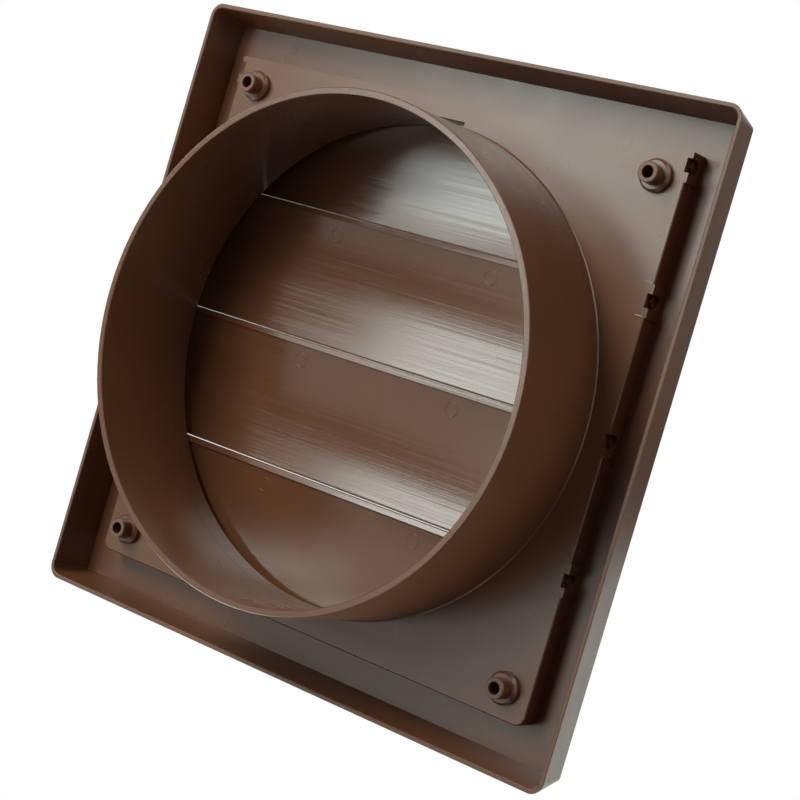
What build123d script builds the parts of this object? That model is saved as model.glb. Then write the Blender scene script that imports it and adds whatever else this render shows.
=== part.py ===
from build123d import *
from math import radians, tan
import os

os.makedirs("parts", exist_ok=True)

# Louvred wall vent with a round duct spigot and four gravity flaps.
# X runs along the flap pivots, Z is up as installed, and the wall lies at Y = 0.
# The spigot points into the wall, along +Y, and the louvred face looks out along -Y.
# A depth is the distance from the wall towards the louvred face, so Y = -depth.

# Round spigot for the duct, with a little draft inside
spigot_radius = 74.0
spigot_length = 31.6
spigot_rim_wall = 1.9
spigot_bore_draft = 0.6
spigot_edge_chamfer = 0.2
spigot_root_chamfer = 0.3

# Raised housing that the flaps hang in, closed at the back by the panel
housing_margin = 7.0
housing_corner_radius = 3.0
housing_wall = 2.0
panel_depth = 5.8
panel_thickness = 1.4
housing_edge_chamfer = 0.3
mouth_edge_radius = 0.5

# Outer frame: a square face plate with a sloped skirt that stands on the wall
frame_border = 14.0
frame_depth = 14.5
face_plate_thickness = 1.5
rim_wall = 1.3
rim_corner_radius = 4.2
skirt_outer_draft = 11.5
skirt_inner_draft = 11.0
rim_edge_chamfer = 0.2
front_edge_radius = 0.8

# Short slot through the panel above the spigot
slot_width = 14.0
slot_height = 1.2

# Screw bosses in the panel corners
screw_inset = 8.5
boss_tube_radius = 3.0
boss_base_radius = 4.7
boss_base_height = 2.0
boss_base_chamfer = 0.7
boss_end_chamfer = 0.25
screw_hole_radius = 1.8

# Flap rows: the pivots are evenly spaced, but the first one drops below the chamber's ceiling
flap_count = 4
row_margin = 0.4
first_pivot_drop = 1.8
pivot_set_out = 1.6

# Flaps: a lip around the pivot, and below it a slat that leans out and bulges towards the front
flap_side_gap = 0.7
flap_thickness = 1.5
flap_seat_gap = 0.3
flap_overlap = 1.0
lip_back = 1.15
lip_step = 0.55
lip_below_axis = 0.6
lip_above_axis = 1.0
lip_lean = 0.25
lip_edge_radius = 0.3
flap_edge_radius = 0.6
flap_bulge = 1.6

# Pivot pins, their bearing holes and the pockets around their ends
pin_radius = 1.25
pin_clearance = 0.1
pin_end_gap = 0.8
pocket_width = 4.0
pocket_sink = 1.5
pad_height = 9.4
pad_thickness = 0.45

# Ledge behind the lowest flap's free edge
ledge_overlap = 1.1

# How far a cut runs past the face it opens, and how near an edge lies to the face it is on
cut_allowance = 0.5
edge_tolerance = 0.01

# Values that follow from the sizes above
housing_half = spigot_radius + housing_margin
housing_size = 2 * housing_half
frame_size = housing_size + 2 * frame_border
face_plate_depth = frame_depth - face_plate_thickness
hollow_inset = rim_wall + face_plate_depth * tan(radians(skirt_inner_draft))
hollow_floor_size = frame_size - 2 * hollow_inset
hollow_floor_corner_radius = rim_corner_radius - hollow_inset
panel_front_depth = panel_depth + panel_thickness
inner_half = housing_half - housing_wall
screw_pitch = housing_size - 2 * screw_inset
bore_radius = spigot_radius - spigot_rim_wall
pad_face = housing_half + pad_thickness
pocket_floor = pad_face - pocket_sink
pocket_radius = pocket_width / 2
pivot_depth = panel_front_depth + pivot_set_out
row_pitch = 2 * (inner_half - row_margin) / flap_count
row_heights = [inner_half - row_margin - row * row_pitch for row in range(flap_count + 1)]
pivot_heights = [inner_half - first_pivot_drop] + row_heights[1:-1]
free_edge_heights = [height + flap_overlap for height in row_heights[1:]]
flap_half_width = inner_half - flap_side_gap
pin_end = pad_face - pin_end_gap
slat_back = lip_back - lip_step
slat_front = slat_back - flap_thickness
free_edge_set_out = flap_seat_gap - slat_front
ledge_depth = pivot_depth + free_edge_set_out - flap_seat_gap
ledge_top = free_edge_heights[-1] + ledge_overlap
ledge_height = inner_half + ledge_top


def at_depth(depth):
    """Plane parallel to the wall at a depth, drawn as X to the right and Z up."""
    return Plane.XZ.offset(depth)


def across_pivot(height):
    """Plane square to a pivot axis, drawn as X into the wall and Y up, with its normal along +X."""
    return Plane((0, -pivot_depth, height), x_dir=(0, 1, 0), z_dir=(1, 0, 0))


def is_straight_wall(face):
    """True for a face that runs straight in from the wall plane, with no draft."""
    return abs(face.normal_at(face.center()).Y) < edge_tolerance


with BuildPart() as body:
    # Solid frame whose sides slope in towards the front
    with BuildSketch(at_depth(0)):
        RectangleRounded(frame_size, frame_size, rim_corner_radius)
    extrude(amount=frame_depth)
    draft(body.faces().filter_by(is_straight_wall), at_depth(0), skirt_outer_draft)
    fillet(body.faces().sort_by(Axis.Y)[0].edges(), front_edge_radius)

    # Hollow it from the wall side, drafted from its floor, to leave the skirt and the face plate
    with BuildSketch(at_depth(0)):
        RectangleRounded(hollow_floor_size, hollow_floor_size, hollow_floor_corner_radius)
    extrude(amount=face_plate_depth, mode=Mode.SUBTRACT)
    hollow_walls = body.faces().filter_by(is_straight_wall)
    draft(hollow_walls, at_depth(face_plate_depth), -skirt_inner_draft)
    chamfer(body.faces().sort_by(Axis.Y)[-1].edges(), rim_edge_chamfer)

    # Housing block on the face plate, its back face being the panel
    with BuildSketch(at_depth(panel_depth)):
        RectangleRounded(housing_size, housing_size, housing_corner_radius)
    extrude(amount=face_plate_depth - panel_depth)
    panel_edges = body.edges().filter_by_position(
        Axis.Y, -panel_depth - edge_tolerance, -panel_depth + edge_tolerance
    )
    chamfer(panel_edges, housing_edge_chamfer)

    # Square pads on both side walls around the pin pockets, the top pair reaching the corner
    for height in pivot_heights:
        pad_top = min(height + pad_height / 2, housing_half)
        pad_bottom = height - pad_height / 2
        with BuildSketch(at_depth(panel_depth)):
            with Locations((0, (pad_top + pad_bottom) / 2)):
                Rectangle(2 * pad_face, pad_top - pad_bottom)
        extrude(amount=face_plate_depth - panel_depth)

    # Flap chamber, open to the front
    with BuildSketch(at_depth(panel_front_depth)):
        Rectangle(2 * inner_half, 2 * inner_half)
    extrude(amount=frame_depth - panel_front_depth, mode=Mode.SUBTRACT)
    mouth_edges = body.faces().sort_by(Axis.Y)[0].inner_wires()[0].edges()
    fillet(mouth_edges, mouth_edge_radius)

    # Ledge that the lowest flap hangs against
    with BuildSketch(at_depth(panel_front_depth)):
        with Locations((0, -inner_half + ledge_height / 2)):
            Rectangle(2 * inner_half, ledge_height)
    extrude(amount=ledge_depth - panel_front_depth)

    # Spigot and its bore
    with BuildSketch(at_depth(-spigot_length)):
        Circle(spigot_radius)
    extrude(amount=spigot_length + panel_front_depth)
    with BuildSketch(at_depth(-spigot_length)):
        Circle(bore_radius)
    extrude(
        amount=spigot_length + panel_front_depth,
        taper=-spigot_bore_draft,
        mode=Mode.SUBTRACT,
    )
    chamfer(body.faces().sort_by(Axis.Y)[-1].edges(), spigot_edge_chamfer)
    root_edges = (
        body.edges()
        .filter_by(GeomType.CIRCLE)
        .filter_by_position(Axis.Y, -panel_depth - edge_tolerance, -panel_depth + edge_tolerance)
        .filter_by(lambda edge: abs(edge.radius - spigot_radius) < edge_tolerance)
    )
    chamfer(root_edges, spigot_root_chamfer)

    # Slot through the panel, just above the spigot's root
    with BuildSketch(at_depth(panel_depth)):
        with Locations((0, spigot_radius + spigot_root_chamfer + slot_height / 2)):
            Rectangle(slot_width, slot_height)
    extrude(amount=panel_thickness, mode=Mode.SUBTRACT)

    # Screw bosses: a wide base, a tube up to the wall plane and a hole through both
    boss_grid = GridLocations(screw_pitch, screw_pitch, 2, 2)
    base_top_depth = panel_depth - boss_base_height
    with BuildSketch(at_depth(base_top_depth)):
        with boss_grid:
            Circle(boss_base_radius)
    extrude(amount=boss_base_height)
    base_top_edges = (
        body.edges()
        .filter_by(GeomType.CIRCLE)
        .filter_by_position(Axis.Y, -base_top_depth - edge_tolerance, -base_top_depth + edge_tolerance)
        .filter_by(lambda edge: abs(edge.radius - boss_base_radius) < edge_tolerance)
    )
    chamfer(base_top_edges, boss_base_chamfer)
    with BuildSketch(at_depth(0)):
        with boss_grid:
            Circle(boss_tube_radius)
    extrude(amount=base_top_depth)
    tube_end_edges = (
        body.edges()
        .filter_by(GeomType.CIRCLE)
        .filter_by_position(Axis.Y, -edge_tolerance, edge_tolerance)
        .filter_by(lambda edge: abs(edge.radius - boss_tube_radius) < edge_tolerance)
    )
    chamfer(tube_end_edges, boss_end_chamfer)
    with BuildSketch(at_depth(0)):
        with boss_grid:
            Circle(screw_hole_radius)
    extrude(amount=panel_front_depth, mode=Mode.SUBTRACT)

    # Pin bearings: a close hole through each side wall, and a pocket outside it
    # that is open towards the wall and round at its other end
    for height in pivot_heights:
        axis_plane = across_pivot(height)
        with BuildSketch(axis_plane):
            Circle(pin_radius + pin_clearance)
        extrude(amount=pad_face, both=True, mode=Mode.SUBTRACT)
        for side in (1, -1):
            with BuildSketch(axis_plane.offset(side * pocket_floor)):
                Circle(pocket_radius)
                with Locations((pivot_depth / 2, 0)):
                    Rectangle(pivot_depth, pocket_width)
            extrude(amount=side * (pocket_sink + cut_allowance), mode=Mode.SUBTRACT)

body.part.label = "body"
export_step(body.part, "parts/body.step")


for number, (height, edge_height) in enumerate(zip(pivot_heights, free_edge_heights), start=1):
    axis_plane = across_pivot(height)
    length = height - edge_height
    with BuildPart() as flap:
        # Section across the flap: the lip, and the slat below it
        with BuildSketch(axis_plane) as section:
            with BuildLine():
                slat_top = (slat_back, -lip_below_axis)
                slat_end = (-free_edge_set_out, -length)
                front_top = (slat_front, -lip_below_axis)
                front_end = (-free_edge_set_out - flap_thickness, -length)
                SagittaArc(slat_top, slat_end, -flap_bulge)
                Line(slat_end, front_end)
                SagittaArc(front_top, front_end, -flap_bulge)
                Polyline(
                    slat_top,
                    (lip_back, -lip_below_axis),
                    (lip_back - lip_lean, lip_above_axis),
                    (slat_front, lip_above_axis),
                    front_top,
                )
            make_face()
            fillet(section.vertices().group_by(Axis.Y)[-1], lip_edge_radius)
            fillet(section.vertices().group_by(Axis.Y)[0], flap_edge_radius)
        extrude(amount=flap_half_width, both=True)

        # Pivot pins
        for side in (1, -1):
            with BuildSketch(axis_plane.offset(side * flap_half_width)):
                Circle(pin_radius)
            extrude(amount=side * (pin_end - flap_half_width))

    flap.part.label = f"flap_{number}"
    export_step(flap.part, f"parts/flap_{number}.step")
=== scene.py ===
from collections import namedtuple
from math import cos, pi, radians, sin, tan

import bpy
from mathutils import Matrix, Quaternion, Vector
from mathutils.bvhtree import BVHTree


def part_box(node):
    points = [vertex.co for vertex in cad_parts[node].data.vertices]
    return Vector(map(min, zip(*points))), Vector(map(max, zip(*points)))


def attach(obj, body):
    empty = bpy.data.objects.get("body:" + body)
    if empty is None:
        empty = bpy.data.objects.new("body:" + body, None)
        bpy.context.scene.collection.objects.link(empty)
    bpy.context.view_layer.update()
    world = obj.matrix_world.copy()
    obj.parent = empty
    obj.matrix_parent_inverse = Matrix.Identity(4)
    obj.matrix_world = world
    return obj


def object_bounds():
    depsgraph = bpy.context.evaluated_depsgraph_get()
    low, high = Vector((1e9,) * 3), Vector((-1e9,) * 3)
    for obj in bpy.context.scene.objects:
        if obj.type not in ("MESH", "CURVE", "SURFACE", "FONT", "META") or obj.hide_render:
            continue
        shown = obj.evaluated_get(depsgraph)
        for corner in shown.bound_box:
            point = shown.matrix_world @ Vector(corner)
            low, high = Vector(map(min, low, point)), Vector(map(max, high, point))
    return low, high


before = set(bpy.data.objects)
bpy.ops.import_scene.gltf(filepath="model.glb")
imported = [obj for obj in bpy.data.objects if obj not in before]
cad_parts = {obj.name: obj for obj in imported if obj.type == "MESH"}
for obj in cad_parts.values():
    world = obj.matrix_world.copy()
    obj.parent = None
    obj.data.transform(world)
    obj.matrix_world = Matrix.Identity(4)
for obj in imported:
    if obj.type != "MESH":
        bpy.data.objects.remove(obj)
cad_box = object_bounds()

# A louvred wall vent seen from behind: satin brown body, streaky glossier flaps, and the faint
# raised lines that the mould leaves. Lengths are in metres, and the spigot points along +Y. Left
# and right are as in the photograph, so right is at -X.
spigot_end = cad_box[1][1]
sides = (("right", -1), ("left", 1))
white = (1.0, 1.0, 1.0, 1.0)

# Camera, placed as for the photograph: behind the vent and to its right, with the frame tipped over
camera_place = Vector((-0.3243, 0.4527, 0.0202))
camera_target = Vector((-0.0100, 0.0, 0.0066))
camera_roll = radians(16.41)
camera_lens = 86.354
camera_sensor = 36.0
camera_shift = (0.00625, -0.0625)
camera_near = 0.01

# Lamps around the part, all at one distance and of one colour. Turn and rise are a lamp's direction
# in degrees, from +Y towards +X and above the horizon. Width and height are its size in degrees as
# the part sees it, and glow is how bright it looks.
Lamp = namedtuple("Lamp", "turn rise width height glow")
lamp_distance = 1.1
lamp_colour = (0.90, 1.0, 0.945)
lamps = {
    # The key light, a tall uneven window whose reflection lies on the flaps and the panel
    "key_main": Lamp(turn=22.0, rise=31.0, width=22.0, height=8.0, glow=21.0),
    "key_upper": Lamp(turn=38.0, rise=38.0, width=24.0, height=14.0, glow=14.5),
    "key_middle": Lamp(turn=19.0, rise=22.0, width=22.0, height=10.0, glow=10.5),
    "key_lower": Lamp(turn=31.0, rise=5.5, width=9.0, height=15.5, glow=10.0),
    "key_lower_right": Lamp(turn=17.0, rise=3.0, width=16.0, height=9.0, glow=4.0),
    "key_lower_left": Lamp(turn=38.0, rise=12.0, width=8.0, height=9.0, glow=3.3),
    # Weaker light from below
    "low_lamp": Lamp(turn=64.0, rise=-24.0, width=13.0, height=13.0, glow=8.5),
    "haze_lamp": Lamp(turn=42.0, rise=-20.0, width=24.0, height=18.0, glow=0.8),
    "haze_right_lamp": Lamp(turn=20.0, rise=-15.0, width=20.0, height=18.0, glow=1.7),
    "low_left_lamp": Lamp(turn=95.0, rise=-52.0, width=30.0, height=30.0, glow=4.5),
    # Fill from the sides
    "high_right_lamp": Lamp(turn=-60.0, rise=50.0, width=30.0, height=30.0, glow=2.8),
    "right_lamp": Lamp(turn=-78.0, rise=12.0, width=40.0, height=50.0, glow=0.9),
    "left_lamp": Lamp(turn=106.0, rise=13.0, width=25.0, height=25.0, glow=1.6),
    # Light on the louvred front
    "low_front_lamp": Lamp(turn=-119.0, rise=-52.0, width=40.0, height=40.0, glow=3.5),
    "backdrop_upper": Lamp(turn=152.0, rise=20.0, width=60.0, height=40.0, glow=0.8),
    "backdrop_lower": Lamp(turn=-167.0, rise=-20.0, width=50.0, height=26.0, glow=0.9),
    "front_lamp": Lamp(turn=165.0, rise=60.0, width=30.0, height=24.0, glow=8.0),
}

# Surroundings: how bright they are to the part, and how bright they look to the camera
world_light = 0.05
world_seen = 1.0

# Floor: its size, its drop below the part, its two tones, and the share of plain white that the
# camera sees on it
floor_size = 1.6
floor_drop = 1.05
floor_dark = (0.90, 0.90, 0.90, 1.0)
floor_light = (0.94, 0.94, 0.94, 1.0)
floor_cloud_scale = 3.0
floor_roughness = 0.8
floor_glow = 1.0
floor_camera_glow = 0.6

# Noise: how many layers it has and how strong the fine ones are. Each scale below is in features
# per metre, and each bump has a strength and a depth.
noise_detail = 3.0
fine_noise_detail = 2.0
noise_roughness = 0.55
unit_range = (0.0, 1.0)

# Brown plastic of both finishes: its two tones, and the soft clouds that blend them
brown_dark = (0.108, 0.0375, 0.0165, 1.0)
brown_light = (0.124, 0.0440, 0.0200, 1.0)
cloud_scale = 28.0
cloud_range = (0.35, 0.65)
plastic_ior = 1.58

# Body finish: the roughness of its smooth and dull patches
body_roughness = (0.27, 0.32)
patch_scale = 75.0
patch_range = (0.3, 0.7)
patch_bump = (0.06, 0.001)

# Trimmed edges of the body at the wall plane, Y = 0: how much duller they are, how far the full
# dullness reaches from that plane, and where it has faded out
trimmed_dullness = 0.25
trimmed_full = 0.0001
trimmed_faded = 0.0003

# Fine turned rings on the spigot's end, and how far before that end they begin and are full
turned_scale = 4200.0
turned_bump = (0.25, 0.0001)
turned_begin = 0.0006
turned_full = 0.0003

# Flap finish: a fine skin, and streaks along the flap as thin lines and wider bands. A streak's
# scales are along X, Y and Z.
flap_roughness = (0.13, 0.18)
skin_scale = 1300.0
skin_bump = (0.03, 0.0001)
line_scales = (13.0, 0.0, 2200.0)
line_range = (0.50, 0.70)
line_dullness = 0.10
line_bump = (0.16, 0.0001)
band_scales = (5.0, 0.0, 650.0)
band_range = (0.3, 0.7)
band_bump = (0.06, 0.0001)

# Cross-section of the mould's raised lines: how wide they are, how high their ridge stands, and
# how far their feet sink into the surface
raised_width = 0.00030
raised_height = 0.00003
raised_sink = 0.00002

# Rings of ejector pins on a flap, either side of its middle and a little below its top
ring_radius = 0.0021
ring_steps = 48
ring_offset = 0.0285
ring_below_top = 0.0043

# Short lines on the panel beside the pin pads: the pins' axis below a flap's top, the pads' edges
# above and below that axis, and the lines' two ends from the middle of the panel
pin_below_top = 0.0010
pad_half_height = 0.0047
pad_line_start = 0.0781
pad_line_end = 0.0805
pad_line_steps = 6


def tree_of(owner):
    """The emptied node tree of a material or world."""
    owner.use_nodes = True
    owner.node_tree.nodes.clear()
    return owner.node_tree


def add(tree, kind, settings=None, **inputs):
    """Adds a node; a value sets an input socket, and a socket is linked to it."""
    made = tree.nodes.new(kind)
    for name, value in (settings or {}).items():
        setattr(made, name, value)
    for name, value in inputs.items():
        feed(tree, made.inputs[name.replace("_", " ")], value)
    return made


def feed(tree, socket, value):
    """Gives an input socket its value, or links it to the socket that has it."""
    if isinstance(value, bpy.types.NodeSocket):
        tree.links.new(value, socket)
    else:
        socket.default_value = value


def noise(tree, vector, scale, detail=noise_detail):
    """Noise value from 0 to 1."""
    made = add(
        tree,
        "ShaderNodeTexNoise",
        Vector=vector,
        Scale=scale,
        Detail=detail,
        Roughness=noise_roughness,
    )
    return made.outputs["Fac"]


def stretched_noise(tree, vector, scales):
    """Noise with its own scale along each axis, so that it is drawn out along the small ones."""
    stretched = add(tree, "ShaderNodeMapping", Vector=vector, Scale=scales)
    return noise(tree, stretched.outputs["Vector"], 1.0, fine_noise_detail)


def remap(tree, value, source, target):
    """Maps a value from one range to another, held at the ends."""
    made = add(tree, "ShaderNodeMapRange", Value=value)
    made.inputs["From Min"].default_value = source[0]
    made.inputs["From Max"].default_value = source[1]
    made.inputs["To Min"].default_value = target[0]
    made.inputs["To Max"].default_value = target[1]
    return made.outputs["Result"]


def mixed(tree, factor, first, second):
    """Colour between two colours."""
    made = add(tree, "ShaderNodeMix", {"data_type": "RGBA"})
    sockets = {(socket.name, socket.type): socket for socket in made.inputs}
    feed(tree, sockets["Factor", "VALUE"], factor)
    feed(tree, sockets["A", "RGBA"], first)
    feed(tree, sockets["B", "RGBA"], second)
    return next(socket for socket in made.outputs if socket.type == "RGBA")


def calculated(tree, operation, first, second):
    """Result of an operation on two values."""
    made = add(tree, "ShaderNodeMath", {"operation": operation})
    feed(tree, made.inputs[0], first)
    feed(tree, made.inputs[1], second)
    return made.outputs[0]


def bumped(tree, height, normal, bump):
    """Normal bent by a height, with the strength and depth of a bump."""
    strength, depth = bump
    made = add(
        tree,
        "ShaderNodeBump",
        Height=height,
        Normal=normal,
        Strength=strength,
        Distance=depth,
    )
    return made.outputs["Normal"]


def blended(tree, factor, first, second):
    """Shader between two shaders."""
    made = add(tree, "ShaderNodeMixShader", Fac=factor)
    feed(tree, made.inputs[1], first)
    feed(tree, made.inputs[2], second)
    return made.outputs[0]


def seen_by_camera(tree, unseen, seen):
    """Shader that is one thing to the camera's own rays and another to all other light."""
    path = add(tree, "ShaderNodeLightPath")
    return blended(tree, path.outputs["Is Camera Ray"], unseen, seen)


def place_on(tree):
    """Place of a surface point on its own object, which stays the same when the object moves."""
    return add(tree, "ShaderNodeTexCoord").outputs["Object"]


def finish_plastic(tree, place, roughness, normal):
    """Closes a tree as brown plastic that varies softly over a few centimetres."""
    clouds = remap(tree, noise(tree, place, cloud_scale), cloud_range, unit_range)
    shader = add(
        tree,
        "ShaderNodeBsdfPrincipled",
        Base_Color=mixed(tree, clouds, brown_dark, brown_light),
        Roughness=roughness,
        Normal=normal,
        IOR=plastic_ior,
    )
    add(tree, "ShaderNodeOutputMaterial", Surface=shader.outputs[0])


def body_finish():
    """Satin plastic in soft patches, duller where it was trimmed and turned on the spigot's end."""
    material = bpy.data.materials.new("body_brown")
    tree = tree_of(material)
    place = place_on(tree)
    parts = add(tree, "ShaderNodeSeparateXYZ", Vector=place).outputs
    patches = noise(tree, place, patch_scale)
    geometry = add(tree, "ShaderNodeNewGeometry")
    normal = bumped(tree, patches, geometry.outputs["Normal"], patch_bump)

    from_front = remap(tree, parts["Y"], (-trimmed_faded, -trimmed_full), unit_range)
    from_behind = remap(tree, parts["Y"], (trimmed_full, trimmed_faded), unit_range[::-1])
    trimmed = calculated(tree, "MULTIPLY", from_front, from_behind)
    roughness = calculated(
        tree,
        "ADD",
        remap(tree, patches, patch_range, body_roughness),
        remap(tree, trimmed, unit_range, (0.0, trimmed_dullness)),
    )

    flat = add(tree, "ShaderNodeCombineXYZ", X=parts["X"], Z=parts["Z"])
    radius = add(tree, "ShaderNodeVectorMath", {"operation": "LENGTH"})
    feed(tree, radius.inputs[0], flat.outputs[0])
    circles = add(
        tree,
        "ShaderNodeTexNoise",
        {"noise_dimensions": "1D"},
        W=radius.outputs["Value"],
        Scale=turned_scale,
    )
    turned_range = (spigot_end - turned_begin, spigot_end - turned_full)
    on_end = remap(tree, parts["Y"], turned_range, unit_range)
    turned = calculated(tree, "MULTIPLY", circles.outputs["Fac"], on_end)
    normal = bumped(tree, turned, normal, turned_bump)
    finish_plastic(tree, place, roughness, normal)
    return material


def flap_finish():
    """Glossier plastic with fine streaks along the flap, in thin lines and wider bands."""
    material = bpy.data.materials.new("flap_brown")
    tree = tree_of(material)
    place = place_on(tree)
    lines = stretched_noise(tree, place, line_scales)
    bands = stretched_noise(tree, place, band_scales)
    roughness = calculated(
        tree,
        "ADD",
        remap(tree, bands, band_range, flap_roughness),
        remap(tree, lines, line_range, (0.0, line_dullness)),
    )
    skin = noise(tree, place, skin_scale, fine_noise_detail)
    geometry = add(tree, "ShaderNodeNewGeometry")
    normal = bumped(tree, skin, geometry.outputs["Normal"], skin_bump)
    normal = bumped(tree, lines, normal, line_bump)
    normal = bumped(tree, bands, normal, band_bump)
    finish_plastic(tree, place, roughness, normal)
    return material


def dress(node_name, material):
    """Gives a CAD node its finish in every material slot it has."""
    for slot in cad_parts[node_name].material_slots:
        slot.material = material


def surface_of(node_name):
    """Search tree of a CAD node's surface."""
    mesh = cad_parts[node_name].data
    corners = [vertex.co for vertex in mesh.vertices]
    faces = [polygon.vertices for polygon in mesh.polygons]
    return BVHTree.FromPolygons(corners, faces)


def on_surface(surface, x, z, height):
    """Point of a surface as seen from behind, raised by a height along +Y."""
    place = surface.ray_cast(Vector((x, spigot_end, z)), Vector((0, -1, 0)))[0]
    return place + Vector((0, height, 0))


def line_corners(surface, path, closed):
    """Foot, ridge and other foot of a raised line at each point of its path."""
    last = len(path) - 1
    corners = []
    for step, (x, z) in enumerate(path):
        before = path[step - 1] if closed or step else path[step]
        after = path[(step + 1) % len(path)] if closed or step < last else path[step]
        along = Vector((after[0] - before[0], after[1] - before[1])).normalized()
        side = Vector((-along.y, along.x)) * raised_width / 2
        corners.append(on_surface(surface, x - side.x, z - side.y, -raised_sink))
        corners.append(on_surface(surface, x, z, raised_height))
        corners.append(on_surface(surface, x + side.x, z + side.y, -raised_sink))
    return corners


def line_faces(count, closed):
    """Faces of a raised line with three corners at each point, and its end caps if it is open."""
    faces = []
    for step in range(count if closed else count - 1):
        first = 3 * step
        second = 3 * ((step + 1) % count)
        for row in range(3):
            next_row = (row + 1) % 3
            faces.append((first + row, first + next_row, second + next_row, second + row))
    if not closed:
        last = 3 * (count - 1)
        faces.append((2, 1, 0))
        faces.append((last, last + 1, last + 2))
    return faces


def raised_line(name, node_name, surface, material, path, closed):
    """Thin raised line along a path in X and Z, on the side of a node that faces the wall."""
    mesh = bpy.data.meshes.new(name)
    mesh.from_pydata(line_corners(surface, path, closed), [], line_faces(len(path), closed))
    mesh.materials.append(material)
    line = bpy.data.objects.new(name, mesh)
    bpy.context.scene.collection.objects.link(line)
    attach(line, node_name)
    return line


def ejector_rings(flap_name, material):
    """The two faint rings that ejector pins leave on a flap, either side of its middle."""
    surface = surface_of(flap_name)
    flap_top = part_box(flap_name)[1][2]
    middle = flap_top - ring_below_top - ring_radius
    turns = [2 * pi * step / ring_steps for step in range(ring_steps)]
    for side_name, side in sides:
        centre = side * ring_offset
        path = [
            (centre + ring_radius * cos(turn), middle + ring_radius * sin(turn)) for turn in turns
        ]
        name = f"{flap_name}_ring_{side_name}"
        ring = raised_line(name, flap_name, surface, material, path, closed=True)


def pad_lines(flap_names, material):
    """Short faint lines on the panel, level with the upper and lower edges of the pin pads."""
    surface = surface_of("body")
    run = pad_line_end - pad_line_start
    distances = [pad_line_start + run * step / pad_line_steps for step in range(pad_line_steps + 1)]
    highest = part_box(flap_names[0])[1][2]
    for flap_name in flap_names:
        pin_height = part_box(flap_name)[1][2] - pin_below_top
        for end_name, end in (("upper", 1), ("lower", -1)):
            height = pin_height + end * pad_half_height
            # The top pads reach the housing's corners, so no line lies above them
            if height > highest:
                continue
            for side_name, side in sides:
                path = [(side * distance, height) for distance in distances]
                name = f"pad_line_{flap_name[-1]}_{end_name}_{side_name}"
                line = raised_line(name, "body", surface, material, path, closed=False)


def make_lamp(name, lamp):
    """Rectangular soft lamp that faces the middle of the part."""
    data = bpy.data.lights.new(name, "AREA")
    data.shape = "RECTANGLE"
    data.size = 2 * lamp_distance * tan(radians(lamp.width / 2))
    data.size_y = 2 * lamp_distance * tan(radians(lamp.height / 2))
    data.energy = lamp.glow * pi * data.size * data.size_y
    data.color = lamp_colour
    turn = radians(lamp.turn)
    rise = radians(lamp.rise)
    toward = Vector((sin(turn) * cos(rise), cos(turn) * cos(rise), sin(rise)))
    made = bpy.data.objects.new(name, data)
    made.location = toward * lamp_distance
    made.visible_camera = False
    made.rotation_mode = "QUATERNION"
    made.rotation_quaternion = (-toward).to_track_quat("-Z", "Y")
    bpy.context.scene.collection.objects.link(made)


def make_camera():
    """The photograph's view."""
    data = bpy.data.cameras.new("camera")
    data.sensor_width = camera_sensor
    data.lens = camera_lens
    data.shift_x, data.shift_y = camera_shift
    data.clip_start = camera_near
    camera = bpy.data.objects.new("camera", data)
    camera.location = camera_place
    camera.rotation_mode = "QUATERNION"
    look = (camera_target - camera_place).to_track_quat("-Z", "Y")
    camera.rotation_quaternion = look @ Quaternion((0, 0, 1), camera_roll)
    bpy.context.scene.collection.objects.link(camera)
    bpy.context.scene.camera = camera


def make_floor():
    """Pale floor below the part; the camera sees it as white where nothing shades it."""
    floor_height = cad_box[0][2] - floor_drop
    bpy.ops.mesh.primitive_plane_add(size=floor_size, location=(0, 0, floor_height))
    floor = bpy.context.object
    floor.name = "floor"
    material = bpy.data.materials.new("floor_pale")
    tree = tree_of(material)
    clouds = noise(tree, place_on(tree), floor_cloud_scale)
    plain = add(
        tree,
        "ShaderNodeBsdfPrincipled",
        Base_Color=mixed(tree, clouds, floor_dark, floor_light),
        Roughness=floor_roughness,
    )
    glow = add(tree, "ShaderNodeEmission", Strength=floor_glow)
    seen = blended(tree, floor_camera_glow, plain.outputs[0], glow.outputs[0])
    surface = seen_by_camera(tree, plain.outputs[0], seen)
    add(tree, "ShaderNodeOutputMaterial", Surface=surface)
    floor.data.materials.append(material)


def make_world():
    """Dim even surroundings, which the camera itself sees as white."""
    world = bpy.data.worlds.new("studio")
    bpy.context.scene.world = world
    tree = tree_of(world)
    lit = add(tree, "ShaderNodeBackground", Color=white, Strength=world_light)
    seen = add(tree, "ShaderNodeBackground", Color=white, Strength=world_seen)
    surface = seen_by_camera(tree, lit.outputs[0], seen.outputs[0])
    add(tree, "ShaderNodeOutputWorld", Surface=surface)


body_plastic = body_finish()
flap_plastic = flap_finish()
flap_names = sorted(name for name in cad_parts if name.startswith("flap_"))
dress("body", body_plastic)
pad_lines(flap_names, body_plastic)
for flap_name in flap_names:
    dress(flap_name, flap_plastic)
    ejector_rings(flap_name, flap_plastic)

make_camera()
make_floor()
make_world()
for lamp_name, lamp in lamps.items():
    make_lamp(lamp_name, lamp)
bpy.context.scene.view_settings.view_transform = "Standard"
